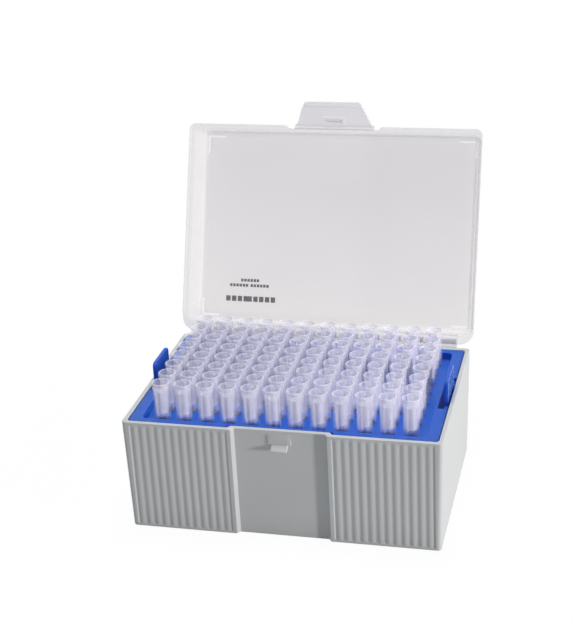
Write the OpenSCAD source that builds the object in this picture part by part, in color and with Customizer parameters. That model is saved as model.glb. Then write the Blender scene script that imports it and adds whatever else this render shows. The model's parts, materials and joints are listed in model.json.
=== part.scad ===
// Rack box of 96 filter pipette tips: a ribbed base, a lift-out rack of tips
// and a hinged lid that is held shut by a fold-over latch tab.
// Millimetres, +Z up. The origin is the middle of the base's resting face,
// X runs along the 12 columns of tips and -Y is the front.

/* [Base] */
// Length of the base at its rim
box_l = 126; // [122:0.5:151]
// Depth of the base at its rim
box_w = 86; // [84:0.5:105]
// Height of the base
box_h = 47; // [44:0.5:60]
// Thickness of the side walls
wall = 1.8; // [1.2:0.1:2.2]
// Thickness of the base floor
floor_t = 2.4; // [2:0.1:4]
// How far each wall leans in from the rim to the foot
foot_inset = 0.9; // [0.2:0.1:1.2]
// Height of the bevel around the underside
foot_bevel = 0.5; // [0.3:0.1:1]
// Outer radius of the upright corners
corner_r = 1.6; // [1:0.1:3]
// Inner radius of the upright corners
inner_r = 1.8; // [1:0.1:3]

/* [Front face] */
// Width of the plain panel between the two ribbed ones
panel_w = 38; // [30:0.5:50]
// How far the plain panel is set back
panel_depth = 1.6; // [1:0.1:2]
// Width of the slope at each side of the plain panel
panel_slope = 1.2; // [0.6:0.1:2]
// Spacing of the upright ribs
rib_pitch = 3.22; // [2.4:0.02:5]
// Depth of the grooves between the ribs
rib_depth = 0.3; // [0.15:0.05:0.7]
// Plain strip beside each ribbed panel
rib_land = 1.9; // [0.8:0.05:3]
// Plain band under the rim
rib_band = 1.3; // [1:0.1:4]
// Plain band above the foot
rib_foot = 1.2; // [0.5:0.1:4]
// How far the ribs stay below the face, so that they don't scuff
rib_shy = 0.05; // [0.03:0.01:0.1]

/* [Latch lug] */
// Width of the lug on the plain panel
lug_w = 6.5; // [5:0.5:12]
// Distance from the rim down to the lug's lowest edge
lug_drop = 8.5; // [8:0.5:12]
// Height of the lug, ramp included
lug_h = 3; // [2:0.1:4]
// Height of the lug's upright nose under the ramp
lug_nose = 0.75; // [0.5:0.05:1.5]
// How far the lug stands out
lug_out = 2.5; // [2:0.1:2.6]
// How far the lug's underside rises towards the wall, so that the catch holds
lug_rise = 1; // [0:0.1:1.5]
// Width of the faint raised pad between the rim and the lug
guide_w = 9.5; // [6.5:0.5:16]
// How far the raised pad stands out
guide_t = 0.4; // [0.2:0.1:0.6]
// Distance from the rim down to the raised pad, which ends at the lug
guide_drop = 1.5; // [1:0.1:3]

/* [Tip grid] */
// Number of tips in each row
cols = 12; // [6:1:12]
// Spacing of the tips, the standard of 96-well labware
pitch = 9; // [8.5:0.1:9.2]

/* [Rack] */
// Gap between the rack and the base wall
rack_gap = 0.3; // [0.2:0.05:0.5]
// How far the rack's border lies below the rim
border_drop = 0.15; // [0:0.05:1]
// Thickness of the rack's plates and skirt
rack_t = 1.4; // [1:0.1:1.6]
// How far the skirt is set in from the border's edge
skirt_inset = 0.4; // [0.3:0.1:0.6]
// Height of the rack from its skirt's lower edge to its border
rack_h = 12; // [10:0.5:14]
// Width of the border at the two short sides
border_x = 4.6; // [3.5:0.1:8]
// Width of the border at the two long sides
border_y = 3.0; // [2.9:0.1:3.6]
// Depth of the sunken tray that the tips stand in
tray_depth = 3.4; // [2:0.1:4.5]
// Corner radius of the tray
tray_r = 2.2; // [1:0.1:4]
// Radius of the hole under each tip
hole_r = 2.5; // [2.4:0.05:2.6]
// Height of the ribs under the tray
stiffener_h = 3; // [2:0.5:4]
// Thickness of the ribs under the tray
stiffener_t = 1.2; // [0.8:0.1:2]
// Thickness of the posts inside the base that the rack stands on
post_t = 2; // [1.2:0.1:4]
// How far the posts reach in from the middle of the wall
post_in = 3.2; // [2.8:0.1:5]

/* [Rack ears] */
// Length of each finger ear
ear_l = 17.2; // [12:0.1:24]
// Height of the ears above the rim
ear_h = 9.2; // [5:0.1:11]
// Thickness of the ears
ear_t = 1.5; // [1.2:0.1:2]
// Radius of the ears' upper corners
ear_r = 1.8; // [1:0.1:4]
// Gap at each end of an ear
ear_end_gap = 5.4; // [2:0.1:8]
// Depth of the gap behind an ear, below the border
ear_cut = 4; // [3.9:0.1:8]
// Thickness of the web that closes the gap below
ear_web = 0.8; // [0.6:0.1:1.4]
// Number of rows of grip studs on each ear
stud_rows = 4; // [1:1:4]
// Spacing of the grip studs
stud_pitch = 1.9; // [1.6:0.1:2.2]
// Radius of the grip studs
stud_r = 0.5; // [0.3:0.05:0.7]
// Height of the grip studs
stud_out = 0.15; // [0.1:0.05:0.2]

/* [Tips] */
// Whole length of a tip
tip_len = 50; // [45:0.5:52]
// Height of a tip above the tray
collar_h = 16.3; // [15:0.1:18]
// Radius of the mouth's outside
mouth_r = 3.65; // [3.3:0.05:3.9]
// Height of the wide mouth
mouth_h = 3.2; // [2:0.1:4]
// Wall thickness at the mouth
mouth_wall = 0.75; // [0.5:0.05:0.9]
// How much narrower the mouth is at its foot than at its edge
mouth_draft = 0.15; // [0:0.05:0.3]
// Bevel around the mouth's edge
mouth_bevel = 0.3; // [0.1:0.05:0.5]
// Height of the flare under the mouth
flare_h = 0.8; // [0.5:0.1:2]
// Radius of the collar between the fins, at its top
collar_r = 2.75; // [2.65:0.05:3]
// Radius of the collar between the fins, under the filter's ledge
shoulder_r = 2.45; // [2.4:0.05:2.6]
// Radius of the neck between the fins' feet, at the tray
neck_r = 1.75; // [1.6:0.05:1.9]
// Outer radius of the fins that a tip stands on
fin_r = 3.0; // [2.8:0.05:3.4]
// Thickness of the fins
fin_t = 0.65; // [0.4:0.05:1]
// Outer radius of the point
point_r = 0.45; // [0.4:0.05:0.8]
// Bore radius of the point
orifice_r = 0.2; // [0.15:0.05:0.3]

/* [Filters] */
// Radius of a filter plug
filter_r = 1.95; // [1.5:0.05:2]
// Height of a filter plug
filter_h = 9; // [5:0.1:9.5]
// Distance from the mouth down to the filter
filter_drop = 4; // [4:0.1:4.5]
// Gap between a filter and its bore
filter_gap = 0.04; // [0.02:0.01:0.1]
// Ledge that a filter stands on
filter_ledge = 0.45; // [0.3:0.05:0.6]

/* [Lid] */
// Clear height inside the lid
lid_h = 16.3; // [15:0.1:22]
// Thickness of the lid's walls and top
lid_t = 1.3; // [1:0.1:1.6]
// Distance from the base's side face in to the lid's side wall
lid_side_inset = 0.5; // [0.4:0.05:0.55]
// Distance from the base's front face in to the lid's front wall
lid_front_inset = 0.35; // [0.2:0.05:0.5]
// Corner radius of the lid's walls
lid_r = 3; // [2:0.1:5]
// How far the lid's rim stands out past the base
rim_over = 1.1; // [1.1:0.05:1.4]
// Thickness of the lid's rim
rim_t = 1.6; // [1.2:0.1:1.7]
// How far the rim's lip laps down over the base
lip_h = 1.1; // [0.6:0.1:1.2]
// Front corner radius of the lid's rim
rim_front_r = 2.8; // [2:0.1:5]
// Rear corner radius of the lid's rim
rim_rear_r = 6; // [2:0.1:7]
// Width of the notch in the rim beside the latch tab
notch_w = 41.5; // [36.5:0.5:50]
// Gap between the lid and the base when shut
lid_gap = 0.25; // [0.15:0.05:0.4]
// Angle that the lid opens through from shut
lid_open = 111.5; // [95:0.5:115]

/* [Stacking corners] */
// Length of each arm of the corner ribs on the lid
stack_arm = 8; // [5:0.5:15]
// Width of the corner ribs
stack_w = 0.9; // [0.6:0.1:1.5]
// Height of the corner ribs
stack_h = 0.9; // [0.5:0.1:1.2]
// Distance from the foot's edge in to the corner ribs of the box below
stack_inset = 1.6; // [1.4:0.1:3]
// Gap around a corner rib in its groove under the floor
stack_gap = 0.3; // [0.2:0.05:0.5]

/* [Hinge] */
// Distance from the base's rear face back to the hinge axis
hinge_back = 2.55; // [2.5:0.05:3]
// Distance from the rim up to the hinge axis
hinge_up = 1.8; // [1.7:0.05:2.2]
// Distance from the base's side face in to the end of the hinge
hinge_inset = 5.7; // [5:0.1:20]
// Radius of the bars that the lid turns on
bar_r = 1.3; // [1:0.05:1.4]
// Gap between the bars and the lid's knuckles
knuckle_gap = 0.1; // [0.05:0.01:0.1]
// Outer radius of the knuckles and of the lugs' heads
knuckle_r = 2.8; // [2.2:0.05:3]
// Width of the slot that lets the knuckles press over the bars
snap_slot = 2.1; // [1.6:0.1:2.4]
// Thickness of the lugs that carry the bars
bracket_t = 2.4; // [1.6:0.1:4]
// Distance from the hinge's ends in to the two outer lugs
bracket_in = 9; // [3:0.5:20]
// Height of the lugs' webs down the rear wall
bracket_h = 9; // [6:0.5:14]
// Side gap between the lugs and the lid
bracket_gap = 0.3; // [0.2:0.05:0.5]

/* [Latch tab] */
// Width of the tab at its fold
tab_w = 34.7; // [26:0.1:36]
// How far each side of the tab steps in beside its fold
tab_step = 1.2; // [0.5:0.1:2]
// Distance from the fold to the tab's steps
tab_step_h = 1.6; // [1:0.1:2.5]
// Width of the tab at its shoulders
tab_shoulder_w = 26.4; // [20:0.1:30]
// Width of the tab at its end
tab_end_w = 23.4; // [14:0.1:26]
// Length of the tab from its fold
tab_l = 12.4; // [12.1:0.1:16]
// Distance from the fold to the tab's shoulders
tab_shoulder = 10.2; // [6:0.1:11]
// Thickness of the tab
tab_t = 1.1; // [0.8:0.1:1.4]
// Height of the fold above the lid's lower edge
fold_up = 2; // [1.8:0.1:3]
// Radius of the rolled edge at the fold
fold_r = 0.55; // [0.4:0.05:0.7]
// Gap between the rolled edge and the lid
fold_gap = 0.15; // [0.1:0.05:0.3]
// Gap between the tab and the lug that it snaps over
tab_gap = 0.3; // [0.2:0.05:0.5]
// Depth of the catch along the tab's end
catch_in = 1.6; // [1:0.1:1.8]
// Bevel along the catch's edge
catch_bevel = 0.4; // [0.2:0.1:0.6]
// Angle that the tab springs out from shut
tab_rest = 50; // [20:1:90]
// Width of the slot sunk in the tab's inner face
slot_w = 6.9; // [4:0.1:10]
// Height of the tab's slot
slot_h = 1.4; // [0.8:0.1:2]
// Distance from the fold to the tab's slot
slot_from_fold = 2.1; // [1.5:0.1:6]
// Width of the raised pad around the slot
pad_w = 9.8; // [8:0.1:14]
// Height of the raised pad
pad_h = 5.4; // [4:0.1:6]
// Thickness of the raised pad
pad_t = 0.35; // [0.2:0.05:0.5]

/* [Hidden] */
$fn = 64;
// How far a cut runs past a face, and the thickness of a slice to hull from
past = 1;
slice = 0.01;
// Names of the rows of tips, front to rear
row_names = ["a", "b", "c", "d", "e", "f", "g", "h"];
rows = len(row_names);

draft = atan(foot_inset / box_h);
foot_l = box_l - 2 * foot_inset - corner_r;
foot_w = box_w - 2 * foot_inset - corner_r;
front_y = -box_w / 2;
rear_y = box_w / 2;
panel_y = front_y + panel_depth;
rib_r = (pow(rib_pitch / 2, 2) + pow(rib_depth, 2)) / (2 * rib_depth);
rib_x0 = panel_w / 2 + rib_land;
rib_n = floor((box_l / 2 - corner_r - rib_x0) / rib_pitch);
rib_z0 = rib_foot;
rib_z1 = box_h - rib_band;

border_z = box_h - border_drop;
tray_z = border_z - tray_depth;
skirt_z = border_z - rack_h;
rack_l = box_l - 2 * (wall + rack_gap);
rack_w = box_w - 2 * (wall + rack_gap);
tray_l = rack_l - 2 * border_x;
tray_w = rack_w - 2 * border_y;
skirt_x = rack_l / 2 - skirt_inset;
ear_x = skirt_x - ear_t;
ear_gap_l = ear_l + 2 * ear_end_gap;

tip_z = tray_z + collar_h;
point_z = collar_h - tip_len;
mouth_z = collar_h - mouth_h;
mouth_bore = mouth_r - mouth_wall;
socket_r = filter_r + filter_gap;
socket_h = collar_h - filter_drop - filter_h;

lid_z = box_h + lid_gap;
lid_l = box_l - 2 * lid_side_inset;
lid_w = box_w - 2 * lid_front_inset;
hinge_half = box_l / 2 - hinge_inset;
bracket_x = [-hinge_half + bracket_in, -bracket_t / 2, hinge_half - bracket_in - bracket_t];
hinge_y = rear_y + hinge_back;
hinge_z = box_h + hinge_up;
rim_x = box_l / 2 + rim_over;
rim_y0 = front_y - rim_over;
rim_y1 = hinge_y + bar_r;
lip_x = box_l / 2 + lid_gap;
lip_y0 = front_y - lid_gap;
lip_y1 = rear_y - corner_r - wall;

fold_y = -lid_w / 2 - fold_gap - fold_r;
fold_z = lid_z + fold_up;
lug_z = box_h - lug_drop;
lug_y = panel_y + foot_inset * lug_drop / box_h - lug_out;
tab_in = fold_y - lug_y + tab_gap;
catch_from_fold = fold_z - lug_z + tab_gap;

// ---- Shared shapes ----

// Rectangle from x0,y0 to x1,y1 with round front and rear corners
module round_rect(x0, y0, x1, y1, front_r, rear_r) {
    polygon([
        [x0 + front_r, y0], [x1 - front_r, y0], [x1, y0 + front_r], [x1, y1 - rear_r],
        [x1 - rear_r, y1], [x0 + rear_r, y1], [x0, y1 - rear_r], [x0, y0 + front_r]
    ]);
    for (x = [x0 + front_r, x1 - front_r]) translate([x, y0 + front_r]) circle(front_r);
    for (x = [x0 + rear_r, x1 - rear_r]) translate([x, y1 - rear_r]) circle(rear_r);
}

// Centred rectangle with four equal round corners
module round_plate(l, w, r) round_rect(-l / 2, -w / 2, l / 2, w / 2, r, r);

// Block whose walls lean in towards its foot as the base's do
module drafted_block(inset, r, z0, z1) {
    hull() {
        for (z = [z0, z1]) {
            lean = inset + foot_inset * (1 - z / box_h);
            translate([0, 0, z == z1 ? z1 - slice : z]) linear_extrude(slice)
                round_plate(box_l - 2 * lean, box_w - 2 * lean, r, $fn = 32);
        }
    }
}

// L-shaped outlines at the four corners of the foot, grown by a margin
module stacking_corners(grow) {
    x1 = box_l / 2 - foot_inset - stack_inset + grow;
    y1 = box_w / 2 - foot_inset - stack_inset + grow;
    arm = stack_arm + 2 * grow;
    w = stack_w + 2 * grow;
    for (sx = [0, 1], sy = [0, 1]) mirror([sx, 0]) mirror([0, sy]) {
        translate([x1 - arm, y1 - w]) square([arm, w]);
        translate([x1 - w, y1 - arm]) square([w, arm]);
    }
}

// Moves the children, drawn upright at the rim, onto the leaning front face
module on_front() translate([0, front_y, box_h]) rotate([draft, 0, 0]) children();

// Turns the children, drawn as if the lid were shut, about the hinge
module opened() {
    translate([0, hinge_y, hinge_z]) rotate([-lid_open, 0, 0])
        translate([0, -hinge_y, -hinge_z]) children();
}

// Prism across X of a polygon given as [y, z] points
module across(points, x0, x1) {
    translate([x0, 0, 0]) rotate([90, 0, 90]) linear_extrude(x1 - x0) polygon(points);
}

// Round bar along X
module bar(x0, x1, r) translate([x0, 0, 0]) rotate([0, 90, 0]) cylinder(r = r, h = x1 - x0);

// How far the tip in column c of row r happens to be turned in its hole
function turn(c, r) = (c * 37 + r * 53) % 45;

// Lays the children out along row r of the grid, on the tray
module along_row(r) {
    for (c = [0:cols - 1])
        translate([(c - (cols - 1) / 2) * pitch, (r - (rows - 1) / 2) * pitch, tray_z])
            rotate([0, 0, turn(c, r)]) children();
}

// ---- Base ----

// Outline of the set-back panel, reaching out past the front face
module panel_prism(grow, depth, z0, z1) {
    half = panel_w / 2 + grow;
    spread = past * panel_slope / panel_depth;
    on_front() translate([0, 0, z0 - box_h]) linear_extrude(z1 - z0)
        polygon([
            [-half - spread, -past], [half + spread, -past],
            [half - panel_slope, depth], [-half + panel_slope, depth]
        ]);
}

// One ribbed panel: a shallow pocket, filled with round-faced ribs
module rib_pocket() {
    on_front() translate([rib_x0, -past, rib_z0 - box_h])
        cube([rib_n * rib_pitch, past + rib_depth, rib_z1 - rib_z0]);
}

module ribs() {
    on_front() for (i = [0:rib_n - 1])
        translate([rib_x0 + (i + 0.5) * rib_pitch, rib_r + rib_shy, rib_z0 - box_h - past / 2])
            cylinder(r = rib_r, h = rib_z1 - rib_z0 + past);
}

module base_shell() {
    difference() {
        union() {
            difference() {
                hull() {
                    drafted_block(0, corner_r, foot_bevel, box_h);
                    linear_extrude(slice) square([foot_l, foot_w], center = true);
                }
                for (side = [0, 1]) mirror([side, 0, 0]) rib_pocket();
            }
            for (side = [0, 1]) mirror([side, 0, 0]) ribs();
        }
        difference() {
            drafted_block(wall, inner_r, floor_t, box_h + past);
            panel_prism(wall, panel_depth + wall, 0, box_h + 2 * past);
        }
        panel_prism(0, panel_depth, -past, box_h + past);
        translate([0, 0, -past]) linear_extrude(past + stack_h + stack_gap)
            stacking_corners(stack_gap);
    }
}

// Posts inside the walls that the rack's skirt stands on
module rack_posts() {
    foot = floor_t / 2;
    h = skirt_z - foot;
    x = box_l / 2 - foot_inset - wall / 2;
    y = box_w / 2 - foot_inset - wall / 2;
    for (sx = [0, 1], sy = [0, 1]) mirror([sx, 0, 0]) mirror([0, sy, 0]) {
        translate([tray_l / 2 - pitch - post_t / 2, y - post_in, foot]) cube([post_t, post_in, h]);
        translate([x - post_in, tray_w / 2 - pitch - post_t / 2, foot]) cube([post_in, post_t, h]);
    }
}

module latch_lug() {
    on_front() {
        across([
            [panel_depth + wall / 2, -lug_drop + lug_rise], [panel_depth, -lug_drop + lug_rise],
            [panel_depth - lug_out, -lug_drop],
            [panel_depth - lug_out, -lug_drop + lug_nose], [panel_depth, -lug_drop + lug_h],
            [panel_depth + wall / 2, -lug_drop + lug_h]
        ], -lug_w / 2, lug_w / 2);
        across([
            [panel_depth + wall / 2, -lug_drop + lug_h - guide_t],
            [panel_depth - guide_t, -lug_drop + lug_h - guide_t],
            [panel_depth - guide_t, -guide_drop - guide_t], [panel_depth, -guide_drop],
            [panel_depth + wall / 2, -guide_drop]
        ], -guide_w / 2, guide_w / 2);
    }
}

// Three lugs on the rear wall with a bar through them, which stands out past the outer two
module hinge_brackets() {
    for (x = bracket_x) {
        across([
            [rear_y - wall / 2, box_h - bracket_h], [rear_y, box_h - bracket_h],
            [hinge_y + knuckle_r, hinge_z - knuckle_r], [hinge_y + knuckle_r, hinge_z],
            [hinge_y, hinge_z], [rear_y - wall / 2, box_h - rib_band]
        ], x, x + bracket_t);
        translate([0, hinge_y, hinge_z]) bar(x, x + bracket_t, knuckle_r);
    }
    translate([0, hinge_y, hinge_z]) bar(-hinge_half + past, hinge_half - past, bar_r);
}

module base() color("gainsboro") {
    base_shell();
    rack_posts();
    latch_lug();
    hinge_brackets();
}

// ---- Rack ----

// The rack's outline, set in by a margin, with the step for the front panel
module rack_outline(inset) {
    difference() {
        round_plate(rack_l - 2 * inset, rack_w - 2 * inset, inner_r);
        translate([0, -rack_w / 2 + inset]) square(
            [panel_w + 2 * (wall + rack_gap), 2 * panel_depth], center = true);
    }
}

// Finger ear that carries the skirt upward, with studs on its outer face, on the right-hand side
module ear() {
    top = box_h + ear_h;
    low = skirt_z + rack_t;
    half = ear_l / 2;
    across([
        [-half, low], [half, low], [half, top - ear_r], [half - ear_r, top],
        [-half + ear_r, top], [-half, top - ear_r]
    ], ear_x, ear_x + ear_t);
    for (y = [-half + ear_r, half - ear_r])
        translate([0, y, top - ear_r]) bar(ear_x, ear_x + ear_t, ear_r);
    stud_n = floor((ear_l / 2 - ear_r) / stud_pitch);
    for (row = [0:stud_rows - 1], i = [-stud_n:stud_n])
        translate([0, i * stud_pitch, top - ear_r - row * stud_pitch])
            bar(ear_x + ear_t / 2, ear_x + ear_t + stud_out, stud_r);
}

// Gap through the tray's side wall behind an ear, and through the border around it
module ear_gap() {
    x0 = tray_l / 2 - rack_gap;
    translate([x0, -ear_gap_l / 2, border_z - ear_cut])
        cube([skirt_x - rack_t - x0, ear_gap_l, ear_cut + past]);
    translate([x0, -ear_gap_l / 2, border_z - rack_t])
        cube([border_x + 2 * past, ear_gap_l, rack_t + past]);
}

// Web that closes the gap behind an ear below, from the tray's plate to the skirt
module ear_gap_web() {
    translate([tray_l / 2, -ear_gap_l / 2, border_z - ear_cut - ear_web])
        cube([skirt_x - rack_t / 2 - tray_l / 2, ear_gap_l, ear_web]);
}

// Upright ribs under the tray, which run between the tips
module stiffeners() {
    low = tray_z - rack_t - stiffener_h;
    h = stiffener_h + rack_t / 2;
    for (k = [1:3]) translate([(round(k * cols / 4) - cols / 2) * pitch - stiffener_t / 2, -tray_w / 2, low])
        cube([stiffener_t, tray_w, h]);
    translate([-tray_l / 2, -stiffener_t / 2, low]) cube([tray_l, stiffener_t, h]);
}

module rack() color("royalblue") {
    difference() {
        union() {
            translate([0, 0, border_z - rack_t]) linear_extrude(rack_t) rack_outline(0);
            translate([0, 0, skirt_z]) linear_extrude(rack_h - rack_t / 2) difference() {
                rack_outline(skirt_inset);
                rack_outline(skirt_inset + rack_t);
            }
            translate([0, 0, tray_z - rack_t]) linear_extrude(tray_depth + rack_t / 2)
                intersection() {
                    round_plate(tray_l + 2 * rack_t, tray_w + 2 * rack_t, tray_r + rack_t);
                    rack_outline(skirt_inset);
                }
            stiffeners();
            for (side = [0, 1]) mirror([side, 0, 0]) ear_gap_web();
        }
        translate([0, 0, tray_z]) linear_extrude(tray_depth + past) round_plate(tray_l, tray_w, tray_r);
        for (r = [0:rows - 1]) along_row(r)
            translate([0, 0, -2 * rack_t]) cylinder(r = hole_r, h = 3 * rack_t);
        for (side = [0, 1]) mirror([side, 0, 0]) ear_gap();
    }
    for (side = [0, 1]) mirror([side, 0, 0]) ear();
}

// ---- Tips and filters ----

// One tip, standing on its fins at z = 0
module tip() {
    difference() {
        union() {
            rotate_extrude() polygon([
                [0, point_z], [point_r, point_z], [neck_r, 0], [shoulder_r, socket_h - filter_ledge],
                [collar_r, mouth_z - flare_h],
                [mouth_r - mouth_draft, mouth_z], [mouth_r, collar_h - mouth_bevel],
                [mouth_r - mouth_bevel, collar_h], [0, collar_h]
            ]);
            for (a = [0:45:135]) rotate([0, 0, a])
                translate([-fin_r, -fin_t / 2, 0]) cube([2 * fin_r, fin_t, mouth_z]);
        }
        rotate_extrude() polygon([
            [0, point_z - past], [orifice_r, point_z - past], [orifice_r, point_z],
            [socket_r - filter_ledge, socket_h], [socket_r, socket_h], [socket_r, mouth_z - flare_h],
            [mouth_bore, mouth_z], [mouth_bore, collar_h + past], [0, collar_h + past]
        ]);
    }
}

module tips_row(r) color("lavender", 0.5) along_row(r) tip();

module filters_row(r) color("white") along_row(r)
    translate([0, 0, socket_h]) cylinder(r = filter_r, h = filter_h);

// ---- Lid ----

// The lid's walls and top, shut
module lid_tray() {
    translate([0, 0, lid_z]) difference() {
        linear_extrude(lid_h + lid_t) round_plate(lid_l, lid_w, lid_r);
        translate([0, 0, -past]) linear_extrude(lid_h + past)
            round_plate(lid_l - 2 * lid_t, lid_w - 2 * lid_t, lid_r - lid_t);
    }
}

// The rim that rests on the base, and the lip that laps over it
module lid_rim() {
    difference() {
        union() {
            translate([0, 0, lid_z]) linear_extrude(rim_t)
                round_rect(-rim_x, rim_y0, rim_x, rim_y1, rim_front_r, rim_rear_r);
            translate([0, 0, lid_z - lip_h]) linear_extrude(lip_h + rim_t / 2)
                intersection() {
                    difference() {
                        round_rect(-rim_x, rim_y0, rim_x, rim_y1, rim_front_r, rim_rear_r);
                        round_rect(-lip_x, lip_y0, lip_x, rear_y, corner_r, corner_r);
                    }
                    translate([-rim_x, rim_y0]) square([2 * rim_x, lip_y1 - rim_y0]);
                }
        }
        translate([0, 0, lid_z - 2 * lip_h]) linear_extrude(2 * (lip_h + rim_t))
            round_plate(lid_l - 2 * lid_t, lid_w - 2 * lid_t, lid_r - lid_t);
        translate([-notch_w / 2, rim_y0 - past, lid_z - lip_h - past])
            cube([notch_w, -lid_w / 2 - rim_y0 + past, lip_h + rim_t + 2 * past]);
    }
}

// Knuckles around the base's bars, open below so that they press over them
module knuckles() {
    outer = hinge_half - bracket_in;
    translate([0, hinge_y, hinge_z]) for (side = [0, 1]) mirror([side, 0, 0]) {
        bar(bracket_t / 2 + bracket_gap, outer - bracket_t - bracket_gap, knuckle_r);
        bar(outer + bracket_gap, hinge_half, knuckle_r);
    }
}

module knuckle_cuts() {
    span = hinge_half + bracket_gap;
    translate([0, hinge_y, hinge_z]) {
        bar(-span, span, bar_r + knuckle_gap);
        translate([-span, -snap_slot / 2, -knuckle_r - past]) cube([2 * span, snap_slot, knuckle_r + past]);
        for (x = bracket_x)
            bar(x - bracket_gap, x + bracket_t + bracket_gap, knuckle_r + bracket_gap);
    }
}

module lid() color("whitesmoke", 0.5) opened() {
    difference() {
        union() {
            lid_tray();
            lid_rim();
            knuckles();
        }
        knuckle_cuts();
    }
    translate([0, 0, lid_z + lid_h + lid_t / 2]) linear_extrude(lid_t / 2 + stack_h)
        stacking_corners(0);
}

// ---- Latch tab ----

// The tab's outline, from its fold at y = 0 down to its end
module tab_outline() {
    for (side = [0, 1]) mirror([side, 0]) polygon([
        [0, 0], [tab_w / 2, 0], [tab_w / 2 - tab_step, -tab_step_h],
        [tab_shoulder_w / 2, -tab_shoulder], [tab_end_w / 2, -tab_l], [0, -tab_l]
    ]);
}

// The tab hanging shut from its fold, with its fold line along X at the origin
module tab_shut() {
    difference() {
        union() {
            bar(-tab_w / 2, tab_w / 2, fold_r);
            translate([-tab_w / 2, -tab_in - tab_t, -fold_r]) cube([tab_w, tab_in + tab_t, 2 * fold_r]);
            translate([0, -tab_in, 0]) rotate([90, 0, 0]) linear_extrude(tab_t) tab_outline();
            translate([-pad_w / 2, -tab_in - tab_t / 2, -slot_from_fold - (slot_h + pad_h) / 2])
                cube([pad_w, tab_t / 2 + pad_t, pad_h]);
            across([
                [-tab_in - tab_t, -catch_from_fold], [-tab_in + catch_in / 2, -catch_from_fold],
                [-tab_in + catch_in, -catch_from_fold - catch_bevel], [-tab_in, -tab_l],
                [-tab_in - tab_t, -tab_l]
            ], -tab_end_w / 2, tab_end_w / 2);
        }
        translate([-slot_w / 2, -tab_in - tab_t / 2, -slot_from_fold - slot_h])
            cube([slot_w, tab_t / 2 + pad_t + past, slot_h]);
    }
}

module latch_tab() color("whitesmoke", 0.5)
    opened() translate([0, fold_y, fold_z]) rotate([-tab_rest, 0, 0]) tab_shut();

base();
rack();
lid();
latch_tab();
for (r = [0:rows - 1]) {
    tips_row(r);
    filters_row(r);
}
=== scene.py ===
"""Looks of a rack box of filter pipette tips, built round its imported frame.

Sizes are in millimetres until a mesh or a material takes them. The sections follow the box as
it is put together: base, rack, tips, filters, lid, latch tab, and then the studio around it.
"""
import json
import math

import bpy
import numpy as np
from mathutils import Matrix, Vector


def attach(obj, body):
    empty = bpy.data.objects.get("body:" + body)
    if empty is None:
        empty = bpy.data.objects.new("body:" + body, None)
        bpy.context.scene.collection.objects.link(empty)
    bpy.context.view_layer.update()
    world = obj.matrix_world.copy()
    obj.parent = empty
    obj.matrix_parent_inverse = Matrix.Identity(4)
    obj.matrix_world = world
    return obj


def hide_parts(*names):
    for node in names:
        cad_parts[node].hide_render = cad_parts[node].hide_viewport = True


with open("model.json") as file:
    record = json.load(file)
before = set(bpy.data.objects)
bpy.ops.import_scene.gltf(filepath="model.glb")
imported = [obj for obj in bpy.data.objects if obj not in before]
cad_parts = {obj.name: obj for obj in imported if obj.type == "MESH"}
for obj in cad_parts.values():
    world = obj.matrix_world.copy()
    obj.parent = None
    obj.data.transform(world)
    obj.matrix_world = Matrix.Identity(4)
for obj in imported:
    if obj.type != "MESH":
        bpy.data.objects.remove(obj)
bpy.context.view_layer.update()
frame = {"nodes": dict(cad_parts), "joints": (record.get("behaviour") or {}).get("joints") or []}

# ---- Base ----
# A deep box moulded in one piece from light grey polypropylene. Its walls lean in towards
# the foot, and its front has two panels of fine ribs beside a plain panel that is set back.

rim_z = 47.0
base_half_x, base_half_y = 63.0, 43.0
wall, floor_t = 1.8, 2.4
foot_lean, foot_round, floor_round = 0.9, 0.5, 1.2
corner_r, corner_gap = 1.6, 0.3
panel_half, panel_depth, panel_slope = 19.0, 1.6, 1.2
front_end = 60.2
rib_start, rib_pitch, rib_count, rib_end = 20.9, 3.22, 12, 0.19
rib_low, rib_high = 1.2, 45.7
rib_depth, rib_shy = 0.3, 0.05
guide_half, guide_slope, guide_t = 4.75, 0.4, 0.4
guide_low, guide_high, guide_fade = 41.1, 45.5, 1.2
rim_round, fade = 0.35, 0.3
stack_x, stack_y, stack_arm, stack_t, stack_h = 60.5, 40.5, 8.0, 0.9, 0.9


def soften(corners, steps=4):
    """Rounds a profile's corners. A row is a reach and the values at a corner, the two places first.

    The corner P becomes the curve (1-t)^2 A + 2t(1-t) P + t^2 B, where A and B lie the
    reach away from P towards the corners before and after it.
    """
    rows = np.array(corners, float)
    t = np.linspace(0, 1, steps + 1)[:, None]
    out = []
    for k, (reach, *values) in enumerate(rows):
        p = np.array(values)
        if reach == 0:
            out.append(p[None])
            continue
        before, after = rows[k - 1, 1:], rows[(k + 1) % len(rows), 1:]
        a, b = (p + (q - p) * reach / np.hypot(*(q - p)[:2]) for q in (before, after))
        out.append((1 - t) ** 2 * a + 2 * t * (1 - t) * p + t * t * b)
    return np.concatenate(out)


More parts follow.
